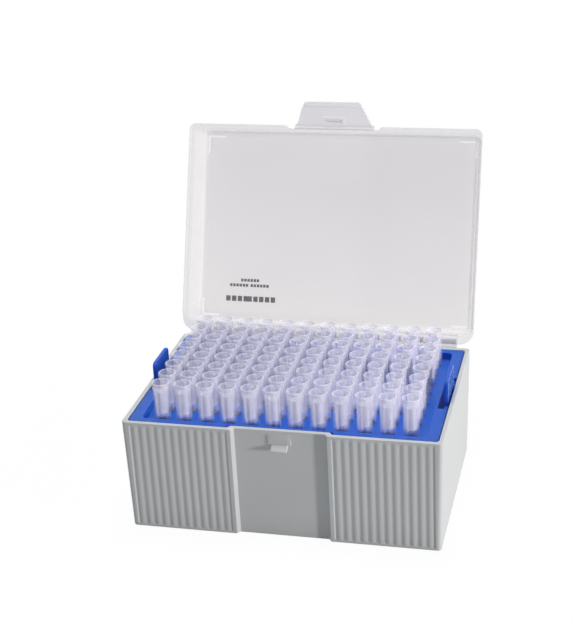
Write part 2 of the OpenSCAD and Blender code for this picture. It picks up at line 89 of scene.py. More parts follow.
def outline(half_x, front, rear, r_front, r_rear, counts):
    """Rectangle with round corners, counter-clockwise from the left end of its front.

    Straight runs are evenly spaced points, and each corner is a quarter circle. counts are
    the points along the front, a side and the rear, and round a corner.
    """
    n_front, n_side, n_rear, n_corner = counts
    x_front, x_rear = half_x - r_front, half_x - r_rear
    y_front, y_rear = front + r_front, rear - r_rear
    sides = (
        # a straight run's start, end and points, then the corner's centre, radius and first angle
        ((-x_front, front), (x_front, front), n_front, (x_front, y_front), r_front, -90),
        ((half_x, y_front), (half_x, y_rear), n_side, (x_rear, y_rear), r_rear, 0),
        ((x_rear, rear), (-x_rear, rear), n_rear, (-x_rear, y_rear), r_rear, 90),
        ((-half_x, y_rear), (-half_x, y_front), n_side, (-x_front, y_front), r_front, 180),
    )
    out = []
    for start, end, count, centre, radius, first in sides:
        s = np.linspace(0, 1, count, endpoint=False)[:, None]
        out.append(np.array(start) * (1 - s) + np.array(end) * s)
        angle = np.radians(first + np.linspace(0, 90, n_corner, endpoint=False))
        out.append(np.array(centre) + radius * np.stack([np.cos(angle), np.sin(angle)], 1))
    return np.concatenate(out)


def at_height(points, z):
    """Adds a height, or one for each point, to points on a plan."""
    return np.column_stack([points, np.broadcast_to(z, len(points))])


def loft(rings, closed=False):
    """Skins outlines, where rings[i, j] is point j of outline i, and turns the faces outwards.

    Quads join each outline to the next. A closed loft joins the last to the first, and an
    open one has a flat face over each end. The skin's volume, the sum over its faces of
    a . (b x c) / 6, tells which way it faces.
    """
    rings = np.asarray(rings, float)
    count, n = rings.shape[:2]
    i, j = np.meshgrid(np.arange(count if closed else count - 1), np.arange(n), indexing="ij")
    i2, j2 = (i + 1) % count, (j + 1) % n
    quads = np.stack([i * n + j, i * n + j2, i2 * n + j2, i2 * n + j], -1).reshape(-1, 4)
    points = rings.reshape(-1, 3)
    faces = quads.tolist()
    corners = [quads[:, [0, 1, 2]], quads[:, [0, 2, 3]]]
    if not closed:
        first, last = np.arange(n)[::-1], np.arange((count - 1) * n, count * n)
        faces += [first.tolist(), last.tolist()]
        corners += [np.stack([np.full(n - 2, f[0]), f[1:-1], f[2:]], 1) for f in (first, last)]
    a, b, c = (points[np.concatenate(corners)[:, k]] for k in range(3))
    if np.einsum("ij,ij->", a, np.cross(b, c)) < 0:
        faces = [f[::-1] for f in faces]
    return points, faces


def prism(section, start, end, axis):
    """Straight bar: a flat section of two coordinates, carried along an axis from start to end."""
    rings = np.empty((2, len(section), 3))
    rings[..., axis] = [[start], [end]]
    rings[..., [k for k in range(3) if k != axis]] = section
    return loft(rings)


def block(wide, deep, low, high):
    """Upright block between two places in X, two in Y and two heights."""
    (x0, x1), (y0, y1) = wide, deep
    return prism([(x0, y0), (x1, y0), (x1, y1), (x0, y1)], low, high, 2)


def bar(centre, radius, start, end, count=32):
    """Round bar along X: a circle r (cos a, sin a) about a centre, a little smaller at both ends."""
    angle = np.linspace(0, 2 * np.pi, count, endpoint=False)
    circle = np.stack([np.cos(angle), np.sin(angle)], 1)
    edge = min(0.2, radius / 4)
    rounds = ((start, radius - edge), (start + edge, radius), (end - edge, radius), (end, radius - edge))
    return loft([np.column_stack([np.full(count, x), np.array(centre) + r * circle]) for x, r in rounds])


def together(*parts):
    """Joins (points, faces) pairs into one."""
    points, faces, shift = [], [], 0
    for some_points, some_faces in parts:
        points.append(some_points)
        faces += [[v + shift for v in f] for f in some_faces]
        shift += len(some_points)
    return np.concatenate(points), faces


sharp_edge = 35


def shaped(name, part, crease=sharp_edge):
    """Mesh object of points in millimetres, smooth but for edges sharper than the crease in degrees."""
    points, faces = part
    mesh = bpy.data.meshes.new(name)
    mesh.from_pydata((points / 1000).tolist(), [], faces)
    mesh.polygons.foreach_set("use_smooth", np.ones(len(mesh.polygons), bool))
    mesh.set_sharp_from_angle(angle=math.radians(crease))
    piece = bpy.data.objects.new(name, mesh)
    bpy.context.scene.collection.objects.link(piece)
    return piece


def cut(piece, part, operation="DIFFERENCE"):
    """Takes a part's solid out of a piece's mesh."""
    cutter = shaped("cutter", part)
    tool = piece.modifiers.new("cut", "BOOLEAN")
    tool.operation, tool.solver, tool.object = operation, "EXACT", cutter
    bpy.context.view_layer.update()
    view = bpy.context.evaluated_depsgraph_get()
    old, piece.data = piece.data, bpy.data.meshes.new_from_object(piece.evaluated_get(view))
    piece.data.name = piece.name
    piece.modifiers.clear()
    bpy.data.objects.remove(cutter)
    bpy.data.meshes.remove(old)
    piece.data.set_sharp_from_angle(angle=math.radians(sharp_edge))


def join(piece, part):
    """Fuses a part's solid with a piece's mesh."""
    cut(piece, part, operation="UNION")


def eased(piece, width):
    """Rounds a piece's sharp edges with a bevel of that width in millimetres."""
    edge = piece.modifiers.new("eased", "BEVEL")
    edge.width, edge.segments, edge.limit_method = width / 1000, 2, "ANGLE"
    edge.angle_limit, edge.harden_normals = math.radians(sharp_edge), True


def finished(piece, finish, slot, body, *nodes):
    """Gives a piece its material and body, and hides the nodes that it stands for. The slot is not used."""
    flats = piece.modifiers.new("flats", "WEIGHTED_NORMAL")
    flats.keep_sharp, flats.weight = True, 100
    piece.data.materials.clear()
    piece.data.materials.append(finish)
    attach(piece, body)
    if nodes:
        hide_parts(*nodes)


def base_ring(inset, z, ribbed=0.0, guide=0.0):
    """Outline of the base at height z, a distance in from its face.

    The front goes back by the plain panel and by the grooves between the ribs, and out by the
    pad over the lug, each times its share. A place t pitches along the ribs stands out as
    ((1 - cos 2 pi t) / 2) ^ 0.8. A share p past the end ribs it stands out as
    (1 - cos pi p) / 2, while the groove shrinks as 1 - p. On the inner face the panel and the
    ribs start further across, by the wall, and the points between them spread evenly.
    """
    lean = foot_lean * (1 - z / rim_z) + inset
    half_x, half_y = base_half_x - lean, base_half_y - lean
    ring = outline(half_x, -half_y, half_y, corner_r, corner_r, (front_count, 12, 12, 8))
    face = ring[1:front_count]
    grow = min(inset, wall)
    edges = np.array([0, panel_half - panel_slope, panel_half, rib_start, front_end])
    moved = edges + grow * (edges > 0)
    moved[-1] = min(front_end, half_x - corner_r - corner_gap)
    side = np.interp(np.abs(front_places), edges, moved)
    face[:, 0] = np.sign(front_places) * side
    panel = panel_depth * np.clip((panel_half + grow - side) / panel_slope, 0, 1)
    t = (side - rib_start) / rib_pitch
    past = np.clip(np.maximum(-t, t - rib_count) / rib_end, 0, 1)
    crown = ((1 - np.cos(2 * np.pi * t)) / 2) ** 0.8
    crown = np.where(past > 0, (1 - np.cos(np.pi * past)) / 2, crown)
    groove = (rib_shy + (rib_depth - rib_shy) * (1 - crown)) * (1 - past)
    pad = guide_t * np.clip((guide_half - side) / guide_slope, 0, 1)
    face[:, 1] += panel + groove * ribbed - pad * guide
    return at_height(ring, z)


def stacking_corners(grow, low, high):
    """Four L-shaped prisms, one at each corner, grown by a margin, by which boxes stack."""
    x, y, arm, width = stack_x + grow, stack_y + grow, stack_arm + 2 * grow, stack_t + 2 * grow
    ell = np.array([
        (x - arm, y), (x - arm, y - width), (x - width, y - width),
        (x - width, y - arm), (x, y - arm), (x, y),
    ])
    return together(*[prism(ell * (sx, sy), low, high, 2) for sx in (-1, 1) for sy in (-1, 1)])


half_front = np.concatenate([
    [0, 2.4, guide_half - guide_slope, guide_half, 9.5, 14.0],
    np.linspace(panel_half - panel_slope, panel_half, 3),
    rib_start - rib_pitch * rib_end * np.array([1, 0.67, 0.33]),
    rib_start + rib_pitch * np.arange(rib_count * 14 + 1) / 14,
    rib_start + rib_pitch * (rib_count + rib_end * np.array([0.33, 0.67, 1])),
    [front_end],
])
front_places = np.concatenate([-half_front[:0:-1], half_front])
front_count = len(front_places) + 1
base_profile = soften([
    # reach, inset, height, ribs, pad
    (0, 3.0, 0, 0, 0),
    (foot_round, 0, 0, 0, 0),
    (0, 0, rib_low, 0, 0),
    (0, 0, rib_low + fade, 1, 0),
    (0, 0, guide_low, 1, 0),
    (0, 0, guide_low + 0.05, 1, 1),
    (0, 0, guide_high - guide_fade, 1, 1),
    (0, 0, rib_high - fade, 1, 0.25),
    (0, 0, rib_high, 0, 0),
    (rim_round, 0, rim_z, 0, 0),
    (rim_round, wall, rim_z, 0, 0),
    (floor_round, wall, floor_t, 0, 0),
    (0, 5.0, floor_t, 0, 0),
])
base = shaped("base_box", loft([base_ring(*row) for row in base_profile]))
cut(base, stacking_corners(0.3, -1, stack_h + 0.3))

# The lug under which the latch tab snaps, with a ramp on top, and the posts inside that the
# rack stands on, which are moulded with the walls.
lug_low, lug_h, lug_half, lug_out, sunk = 38.5, 3.0, 3.25, 2.5, 0.7
lug_face = -base_half_y + foot_lean * (1 - lug_low / rim_z) + panel_depth
lug = prism([
    (lug_face + sunk, lug_low + 1), (lug_face, lug_low + 1),
    (lug_face - lug_out, lug_low), (lug_face - lug_out, lug_low + 0.75),
    (lug_face, lug_low + lug_h), (lug_face + sunk, lug_low + lug_h),
], -lug_half, lug_half, 0)
post_low, post_top, post_wide, post_deep = 1.2, 34.85, 1.0, 1.6
post_places = ((47.3, 39.6, post_wide, post_deep), (59.6, 28.9, post_deep, post_wide))
posts = []
for sx in (-1, 1):
    for sy in (-1, 1):
        for x, y, half_x, half_y in post_places:
            wide, deep = (sx * x - half_x, sx * x + half_x), (sy * y - half_y, sy * y + half_y)
            posts.append(block(wide, deep, post_low, post_top))
latch_lug = shaped("latch_lug", lug)
eased(latch_lug, 0.25)
rack_posts = shaped("rack_posts", together(*posts))
eased(rack_posts, 0.2)

# Three lugs on the rear wall carry the bar that the lid turns on.
hinge = next(j for j in frame["joints"] if j["name"] == "lid_hinge")
hinge_y, hinge_z = (1000 * v for v in hinge["pos_m"][1:])
hinge_half, bracket_in, bracket_t, knuckle_r, bar_r = 57.3, 9.0, 2.4, 2.8, 1.3
web_h, web_top = 9.0, 1.3
web = [
    (base_half_y - sunk, rim_z - web_h), (base_half_y, rim_z - web_h),
    (hinge_y + knuckle_r, hinge_z - knuckle_r), (hinge_y + knuckle_r, hinge_z),
    (hinge_y, hinge_z), (base_half_y - sunk, rim_z - web_top),
]
bracket_starts = (-hinge_half + bracket_in, -bracket_t / 2, hinge_half - bracket_in - bracket_t)
hinge_lugs = shaped("hinge_lugs", together(
    *[prism(web, x, x + bracket_t, 0) for x in bracket_starts],
    *[bar((hinge_y, hinge_z), knuckle_r, x, x + bracket_t) for x in bracket_starts],
))
bar_half = hinge_half - 0.1
hinge_bar = shaped("hinge_bar", bar((hinge_y, hinge_z), bar_r, -bar_half, bar_half))


class Wire:
    """A shader node's output. Arithmetic on it adds Math nodes to its tree."""

    def __init__(self, socket):
        self.socket = socket

    def maths(self, operation, first, second):
        node = self.socket.id_data.nodes.new("ShaderNodeMath")
        node.operation = operation
        feed(node.inputs[0], first)
        feed(node.inputs[1], second)
        return Wire(node.outputs[0])

    def __add__(self, other):
        return self.maths("ADD", self, other)

    def __radd__(self, other):
        return self.maths("ADD", other, self)

    def __sub__(self, other):
        return self.maths("SUBTRACT", self, other)

    def __rsub__(self, other):
        return self.maths("SUBTRACT", other, self)

    def __mul__(self, other):
        return self.maths("MULTIPLY", self, other)

    def __rmul__(self, other):
        return self.maths("MULTIPLY", other, self)

    def __pow__(self, other):
        return self.maths("POWER", self, other)


def feed(socket, value):
    """Links a wire to a socket, or sets the socket to a plain value."""
    if isinstance(value, Wire):
        socket.id_data.links.new(value.socket, socket)
    else:
        socket.default_value = value


class Nodes:
    """A shader's tree in the making."""

    def __init__(self, tree):
        self.tree = tree

    def node(self, kind, settings=None, inputs=None, out=0):
        """Adds a node, sets its settings and then its inputs, and returns one of its outputs."""
        node = self.tree.nodes.new(kind)
        for key, value in (settings or {}).items():
            setattr(node, key, value)
        for key, value in (inputs or {}).items():
            feed(node.inputs[key], value)
        return Wire(node.outputs[out])

    def between(self, share, low, high):
        """Colour that goes from low to high with a share."""
        ends = [end if isinstance(end, Wire) else (*end, 1) for end in (low, high)]
        return self.node("ShaderNodeMix", {"data_type": "RGBA"}, {0: share, 6: ends[0], 7: ends[1]}, out=2)

    def ray(self, kind):
        """1 for one kind of light ray and 0 for the others."""
        return self.node("ShaderNodeLightPath", out=f"Is {kind} Ray")


class Finish(Nodes):
    """A material in the making, round one Principled shader."""

    def __init__(self, name, **constants):
        self.material = bpy.data.materials.new(name)
        self.material.use_nodes = True
        super().__init__(self.material.node_tree)
        self.skin = self.tree.nodes["Principled BSDF"]
        for socket, value in constants.items():
            self.skin.inputs[socket.replace("_", " ")].default_value = value
        self.place = self.node("ShaderNodeTexCoord", out="Object")

    def noise(self, size, detail=2.0, rough=0.5):
        """Cloudy pattern from 0 to 1 with features of about a size in millimetres."""
        values = {"Vector": self.place, "Scale": 1000 / size, "Detail": detail, "Roughness": rough}
        return self.node("ShaderNodeTexNoise", inputs=values, out="Fac")

    def bump(self, height, depth):
        """Surface normal for a height from 0 to 1, scaled to a depth in millimetres."""
        return self.node("ShaderNodeBump", inputs={"Height": height, "Distance": depth / 1000}, out="Normal")

    def see_through(self, alpha, shade):
        """Alpha, less for the rays that cast shadows, since clear plastic passes light on.

        It is multiplied by the shade for those rays, and by 1 for the rest.
        """
        return alpha * (1 - (1 - shade) * self.ray("Shadow"))

    def band(self, value, start, end):
        """Share that rises evenly from 0 to 1 while a value goes from start to end."""
        return self.node("ShaderNodeMapRange", inputs={0: value, 1: start, 2: end})

    def along(self, way):
        """How far a point lies along a direction of length 1, from the frame's origin."""
        ends = {0: self.place, 1: way}
        return self.node("ShaderNodeVectorMath", {"operation": "DOT_PRODUCT"}, ends, out="Value")

    def scattered(self, share):
        """Surface normal n turned up by a share, as light scattered inside evens out the shade.

        It is n (1 - share) + (0, 0, share), at length 1.
        """
        true = self.node("ShaderNodeNewGeometry", out="Normal")
        kept = self.node("ShaderNodeVectorMath", {"operation": "SCALE"}, {0: true, "Scale": 1 - share})
        turned = self.node("ShaderNodeVectorMath", {"operation": "ADD"}, {0: kept, 1: (0, 0, share)})
        return self.node("ShaderNodeVectorMath", {"operation": "NORMALIZE"}, {0: turned})

    def wear(self, **inputs):
        """Feeds the Principled shader's sockets."""
        for socket, value in inputs.items():
            feed(self.skin.inputs[socket.replace("_", " ")], value)
        return self.material


# Satin grey polypropylene: a faint mottle from the melt's flow and a fine eroded grain.
grey = Finish("base_plastic", IOR=1.49)
flow = grey.noise(22, 4)
grain = grey.noise(0.35, 3)
base_plastic = grey.wear(
    Base_Color=grey.between(flow, (0.525, 0.54, 0.55), (0.565, 0.58, 0.59)),
    Roughness=0.36 + 0.12 * grain + 0.06 * flow,
    Normal=grey.bump(grain, 0.006),
)
finished(base, base_plastic, "base", "box", "base")
for moulded in (latch_lug, rack_posts, hinge_lugs, hinge_bar):
    finished(moulded, base_plastic, "base", "box", "base")

# ---- Rack ----
# A royal blue moulded insert that stands on the posts, flush with the base's rim: a border
# round a sunken tray with a hole for each tip, a skirt below, and a finger ear at each end.

rack_half_x, rack_half_y = 60.9, 40.9
border_z, tray_z, skirt_z, plate = 46.85, 43.45, 34.85, 1.4
tray_half_x, tray_half_y, tray_r = 56.3, 37.9, 2.2
step_half, step_slope = 21.1, 0.4
pitch, columns, rows = 9.0, 12, 8
hole_r = 2.5


def rack_ring(half_x, z, half_y, radius, stepped):
    """Outline of the rack at a height.

    Where stepped, its front goes back by the depth of the base's plain panel, over a short slope.
    """
    front_points = 160
    ring = outline(half_x, -half_y, half_y, radius, radius, (front_points, 16, 16, 8))
    front = ring[:front_points + 1]
    front[:, 1] += stepped * panel_depth * np.clip((step_half - np.abs(front[:, 0])) / step_slope, 0, 1)
    return at_height(ring, z)


skirt_x, skirt_y = rack_half_x - 0.4, rack_half_y - 0.4
rack_profile = soften([
    # reach, half length, height, half width, corner radius, step
    (0, 40, tray_z - plate, 20, 1, 0),
    (0, skirt_x - plate, tray_z - plate, skirt_y - plate, 1, 1),
    (0, skirt_x - plate, skirt_z, skirt_y - plate, 1, 1),
    (0.2, skirt_x, skirt_z, skirt_y, 1.6, 1),
    (0.1, skirt_x, border_z - plate, skirt_y, 1.6, 1),
    (0.1, rack_half_x, border_z - plate, rack_half_y, 1.8, 1),
    (0.3, rack_half_x, border_z, rack_half_y, 1.8, 1),
    (0.35, tray_half_x, border_z, tray_half_y, tray_r, 0),
    (0.6, tray_half_x, tray_z, tray_half_y, tray_r, 0),
    (0, 40, tray_z, 20, 1, 0),
], steps=3)
rack = shaped("rack_deck", loft([rack_ring(*row) for row in rack_profile]))

turn = np.linspace(0, 2 * np.pi, 32, endpoint=False)
circle = hole_r * np.stack([np.cos(turn), np.sin(turn)], 1)
grid_x = (np.arange(columns) - (columns - 1) / 2) * pitch
grid_y = (np.arange(rows) - (rows - 1) / 2) * pitch
drills = [prism(circle + (x, y), tray_z - 3, tray_z + 1, 2) for x in grid_x for y in grid_y]
cut(rack, together(*drills))

# A gap for a finger beside each ear: a pit as far as the skirt, and a way out over the border.
gap_half, gap_in, gap_depth = 14.0, tray_half_x - 0.3, 4.0
for side in (-1, 1):
    for far, low in ((skirt_x - plate, border_z - gap_depth), (rack_half_x + 1, border_z - plate)):
        cut(rack, block((side * gap_in, side * far), (-gap_half, gap_half), low, border_z + 1))

# Ribs under the tray, three across and one along, which run between the tips.
half_rib, rib_levels, rib_reach = 0.6, (39.05, 42.2), tray_half_x - 0.4
ribs = [block((x - half_rib, x + half_rib), (-tray_half_y, tray_half_y), *rib_levels)
        for x in (-3 * pitch, 0, 3 * pitch)]
ribs.append(block((-rib_reach, rib_reach), (-half_rib, half_rib), *rib_levels))
tray_ribs = shaped("tray_ribs", together(*ribs))

# The ears, with rows of small studs on their outer faces for grip.
ear_half, ear_top, ear_r, ear_in, ear_out = 8.6, 56.2, 1.8, 59.0, 60.5
ear_edge = ((0, 0.3), (0.09, 0.09), (0.3, 0))
stud_pitch, stud_r, stud_out, stud_sunk = 1.9, 0.6, 0.35, 0.05


def ear_section(inset):
    """Outline of an ear in Y and up: upright sides, and two quarter circles r (cos a, sin a) on top."""
    angle = np.radians(np.linspace(0, 90, 10))
    arc = np.stack([np.cos(angle), np.sin(angle)], 1) * (ear_r - inset)
    right = arc + (ear_half - ear_r, ear_top - ear_r)
    left = (arc * (-1, 1))[::-1] + (-ear_half + ear_r, ear_top - ear_r)
    low = skirt_z + plate
    return np.concatenate([[(-ear_half + inset, low), (ear_half - inset, low)], right, left])


def across(x, section):
    """Stands a section of places along Y and up at a place along X."""
    return np.column_stack([np.full(len(section), x), section])


def stud(side, y, z):
    """Low dome on an ear's outer face: rings of radius r cos(a) at a height h sin(a)."""
    angle = np.linspace(0, 2 * np.pi, 12, endpoint=False)
    circle = stud_r * np.stack([np.cos(angle), np.sin(angle)], 1)
    foot, height = ear_out - stud_sunk, stud_out + stud_sunk
    return loft([across(side * (foot + height * np.sin(a)), (y, z) + circle * np.cos(a))
                 for a in np.radians([0, 25, 50, 75])])


ears = []
ear_slices = [(ear_in + deep, inset) for deep, inset in ear_edge]
ear_slices += [(ear_out - deep, inset) for deep, inset in ear_edge[::-1]]
for side in (-1, 1):
    ears.append(loft([across(side * x, ear_section(inset)) for x, inset in ear_slices]))
    ears += [stud(side, k * stud_pitch, ear_top - ear_r - down * stud_pitch)
             for k in range(-3, 4) for down in range(4)]
rack_ears = shaped("rack_ears", together(*ears))

# Semi-gloss blue polypropylene with a little flow mottle. Light spreads a little way into it, blue furthest.
# Inside the gaps beside the ears the colour is painted a dark navy, which is painted shade, and the surface
# is rougher.
blue = Finish(
    "rack_plastic", IOR=1.49, Specular_IOR_Level=0.15,
    Subsurface_Weight=0.6, Subsurface_Radius=(0.3, 1, 6), Subsurface_Scale=0.001,
)
flow = blue.noise(15, 3)
grain = blue.noise(0.5, 2)
at_x, at_y, height = (blue.node("ShaderNodeSeparateXYZ", inputs={0: blue.place}, out=k) for k in "XYZ")
far_x, far_y = (blue.node("ShaderNodeMath", {"operation": "ABSOLUTE"}, {0: v}) for v in (at_x, at_y))
# Painted shade: a mask of the gaps beside the ears, where the blue is painted dark navy.
gap_shade = (
    blue.band(far_x, gap_in / 1000, tray_half_x / 1000)
    * blue.band(far_x, (ear_in + 0.2) / 1000, ear_in / 1000)
    * blue.band(far_y, (gap_half + 0.3) / 1000, (gap_half - 0.1) / 1000)
    * blue.band(height, (border_z - 0.5) / 1000, (border_z - 2.5) / 1000)
)
royal = blue.between(flow, (0.020, 0.095, 0.46), (0.032, 0.125, 0.54))
rack_plastic = blue.wear(
    Base_Color=blue.between(gap_shade, royal, (0.003, 0.012, 0.13)),
    Roughness=0.2 + 0.12 * flow + 0.08 * grain + 0.4 * gap_shade,
    Normal=blue.bump(grain, 0.004),
)
finished(rack, rack_plastic, "rack", "box", "rack")
for moulded in (tray_ribs, rack_ears):
    finished(moulded, rack_plastic, "rack", "box", "rack")

# ---- Tips ----
# Clear polypropylene tips that stand on the tray in eight rows of twelve. Each has a wide
# mouth, eight fins whose feet rest on the tray, and a bored body that tapers to its point.

collar_h, tip_len = 16.3, 50.0
mouth_r, mouth_bore, mouth_h, flare_h = 3.65, 2.9, 3.2, 0.8
collar_r, shoulder_r, neck_r = 2.8, 2.45, 1.75
fin_r, fin_t, fin_count = 3.2, 0.6, 8
point_r, orifice_r = 0.45, 0.2
socket_r, ledge_r, socket_h = 1.99, 1.54, 3.3
mouth_z, point_z = collar_h - mouth_h, collar_h - tip_len


def tip_part():
    """One tip, standing on its feet at z = 0: a turned body, and fins.

    The body is the circle r (cos a, sin a) for each radius and height of a closed profile,
    which goes up the outside and down the bore. A fin is a thin plate whose outer edge is
    half round, t (cos a, sin a), and it thins into the flare above.
    """
    profile = soften([
        # reach, radius, height
        (0, orifice_r, point_z), (0, point_r, point_z), (0, neck_r, 0), (0.5, shoulder_r, socket_h - 0.45),
        (0.9, collar_r, mouth_z - 1.5), (1.1, mouth_r - 0.35, mouth_z + 0.5),
        (0.25, mouth_r, collar_h - 0.3), (0.15, mouth_r - 0.25, collar_h),
        (0.2, mouth_bore + 0.1, collar_h), (0, mouth_bore, collar_h - 0.5),
        (0.8, mouth_bore - 0.15, mouth_z + 0.6),
        (0.8, socket_r, mouth_z - flare_h - 1.2), (0, socket_r, socket_h), (0, ledge_r, socket_h),
    ], steps=3)
    angle = np.linspace(0, 2 * np.pi, 24, endpoint=False)
    circle = np.stack([np.cos(angle), np.sin(angle)], 1)
    body = loft([at_height(r * circle, z) for r, z in profile], closed=True)
    half, root = fin_t / 2, neck_r - 0.25
    edge = np.radians([-90, -45, 0, 45, 90])
    levels = (
        # height, reach, half thickness
        (0, fin_r - 0.15, half - 0.12), (0.2, fin_r, half),
        (mouth_z - 0.5, fin_r, half), (mouth_z + 0.8, fin_r, half * 0.7),
    )
    fins = []
    for a in np.radians(np.arange(fin_count) * 360 / fin_count):
        turned = np.array([[np.cos(a), np.sin(a)], [-np.sin(a), np.cos(a)]])
        rings = []
        for z, reach, thin in levels:
            outer = np.stack([reach - thin + thin * np.cos(edge), thin * np.sin(edge)], 1)
            rings.append(at_height(np.concatenate([[(root, thin), (root, -thin)], outer]) @ turned, z))
        fins.append(loft(rings))
    return together(body, *fins)


def tip_turn(column, row):
    """How far a tip happens to be turned in its hole, in degrees."""
    return 22.5 + (column * 37 + row * 53) % 21 - 10


# Milky clear plastic: denser round the mouth and where a wall is seen edge on, clearer low down.
clear = Finish("tip_plastic", IOR=1.49, Specular_IOR_Level=0.3)
edge_on = clear.node("ShaderNodeLayerWeight", inputs={"Blend": 0.5}, out="Facing")
haze = clear.noise(3, 2)
high = clear.node("ShaderNodeSeparateXYZ", inputs={0: clear.place}, out="Z")
rim = clear.band(high, (tray_z + collar_h - 0.5) / 1000, (tray_z + collar_h - 0.1) / 1000)
low = clear.band(high, (tray_z + 8) / 1000, (tray_z + 1.2) / 1000)
# The colour's lavender tint is painted light: the blue that the rack throws onto the clear tips.
tip_plastic = clear.wear(
    Base_Color=clear.between(haze, (0.81, 0.80, 0.91), (0.87, 0.86, 0.94)),
    Roughness=0.12 + 0.06 * haze,
    Alpha=clear.see_through(0.15 + 0.03 * haze + 0.4 * edge_on ** 2.5 + 0.14 * rim - 0.06 * low, 0.03),
)
tip_points, tip_faces = tip_part()
row_names = "abcdefgh"
for row, letter in enumerate(row_names):
    stood = []
    for column, x in enumerate(grid_x):
        a = math.radians(tip_turn(column, row))
        spin = np.array([[math.cos(a), math.sin(a), 0], [-math.sin(a), math.cos(a), 0], [0, 0, 1]])
        stood.append((tip_points @ spin + (x, grid_y[row], tray_z), tip_faces))
    tips = shaped(f"clear_tips_{letter}", together(*stood), crease=50)
    finished(tips, tip_plastic, "tips", "box", f"tips_row_{letter}")

# ---- Filters ----
# White porous plugs of sintered polyethylene, one on the ledge in each tip's bore. They keep their
# construction meshes. Their colour is a dim lilac, not white: painted shade for the light that the tips'
# walls keep from them, and painted blue light from the rack.

porous = Finish("filter_felt", Roughness=0.9)
pore = 0.35
pores = porous.node(
    "ShaderNodeTexVoronoi", inputs={"Vector": porous.place, "Scale": 1000 / pore}, out="Distance")
# Painted shade and painted blue light: the white plugs are coloured a dim lilac.
filter_felt = porous.wear(
    Base_Color=porous.between(pores, (0.50, 0.50, 0.66), (0.58, 0.58, 0.72)),
    Alpha=porous.see_through(0.5, 0.3),
    Normal=porous.scattered(0.3),
)
for letter in row_names:
    for slot in frame["nodes"][f"filters_row_{letter}"].material_slots:
        slot.material = filter_felt

# ---- Lid ----
# A frosted see-through lid, moulded in one piece: a shallow tray with a flange round its
# open side, a lip that laps over the base's rim, and knuckles that snap on the base's bar.

lid_low, lid_h, lid_t = 47.25, 16.3, 1.3
lid_half_x, lid_half_y, lid_r, lid_draft = 62.2, 42.65, 3.0, 0.5
flange_t, lip_h = 1.6, 1.1
flange_x, flange_front, flange_rear = 64.1, -44.1, hinge_y + bar_r
lip_x, lip_front, lip_foot, lip_end = 63.25, -43.2, -43.23, 39.6
notch_half, notch_slope, lip_slope = 20.75, 0.5, 0.6
knuckle_gap, bore_gap, knuckle_gape = 0.3, 0.1, 1.05
lid_top = lid_low + lid_h + lid_t
opened_by = math.radians(hinge["range_deg"][1])


def opened(part):
    """Turns a part, made as if the lid were shut, back about the hinge.

    A point y, z from the bar goes to (c y + s z, c z - s y), for the cosine and sine of the turn.
    """
    points, faces = part
    c, s = math.cos(opened_by), math.sin(opened_by)
    y, z = points[:, 1] - hinge_y, points[:, 2] - hinge_z
    return np.column_stack([points[:, 0], hinge_y + c * y + s * z, hinge_z - s * y + c * z]), faces


def lid_ring(half_x, z, front, rear, r_front, r_rear, notch, lift):
    """Outline of the lid at a height.

    Between the notches the front stands no further out than the wall, by the share called
    notch. There and at the rear the outline goes up by the lift, so that the lip ends, over
    short slopes.
    """
    front_points = 254
    ring = outline(half_x, front, rear, r_front, r_rear, (front_points, 60, 40, 10))
    face = ring[:front_points + 1]
    past = notch_half - np.abs(face[:, 0])
    back = np.clip((past - 0.3) / notch_slope, 0, 1) * notch
    face[:, 1] += np.maximum(-lid_half_y - face[:, 1], 0) * back
    lapped = np.clip((lip_end - ring[:, 1]) / lip_slope, 0, 1)
    lapped[:front_points + 1] *= 1 - np.clip((past + 0.2) / notch_slope, 0, 1) * notch
    return at_height(ring, z + lift * (1 - lapped))


wall_out = (-lid_half_y, lid_half_y, lid_r, lid_r, 0, 0)
wall_in = (-lid_half_y + lid_t, lid_half_y - lid_t, lid_r - lid_t, lid_r - lid_t, 0, 0)
flange = (flange_front, flange_rear, 2.8, 6.0, 1)
lid_profile = soften([
    # reach, half length, height, front, rear, front radius, rear radius, notch, lift
    (0, 40, lid_top, -20, 20, 1, 1, 0, 0),
    (1.3, lid_half_x, lid_top, *wall_out),
    (0.4, lid_half_x + lid_draft, lid_low + flange_t, *wall_out),
    (0.4, flange_x, lid_low + flange_t, *flange, 0),
    (0.2, flange_x, lid_low - lip_h, *flange, lip_h),
    (0.2, lip_x, lid_low - lip_h, lip_foot, flange_rear - 0.5, 1.9, 5.5, 1, lip_h),
    (0, lip_x, lid_low, lip_front, flange_rear - 0.5, 1.9, 5.5, 1, 0),
    (0.25, lid_half_x + lid_draft - lid_t, lid_low, *wall_in),
    (1.6, lid_half_x - lid_t, lid_top - lid_t, *wall_in),
    (0, 40, lid_top - lid_t, -20, 20, 1, 1, 0, 0),
], steps=5)
lid = shaped("lid_tray", loft([lid_ring(*row) for row in lid_profile]))
bore_r = bar_r + bore_gap
cut(lid, together(*[
    bar((hinge_y, hinge_z), knuckle_r + knuckle_gap, x - knuckle_gap, x + bracket_t + knuckle_gap)
    for x in bracket_starts
]))
cut(lid, bar((hinge_y, hinge_z), bore_r, -hinge_half - 0.5, hinge_half + 0.5))
join(lid, stacking_corners(0, lid_top - 0.3, lid_top + stack_h))


def knuckle_arc(r, count):
    """Points round the bar at a radius, r (cos a, sin a), but for the slot below.

    The slot's half angle is the arcsine of its half width over the radius.
    """
    half = np.arcsin(knuckle_gape / r)
    angle = -np.pi / 2 + np.linspace(half, 2 * np.pi - half, count)
    return (hinge_y, hinge_z) + r * np.stack([np.cos(angle), np.sin(angle)], 1)


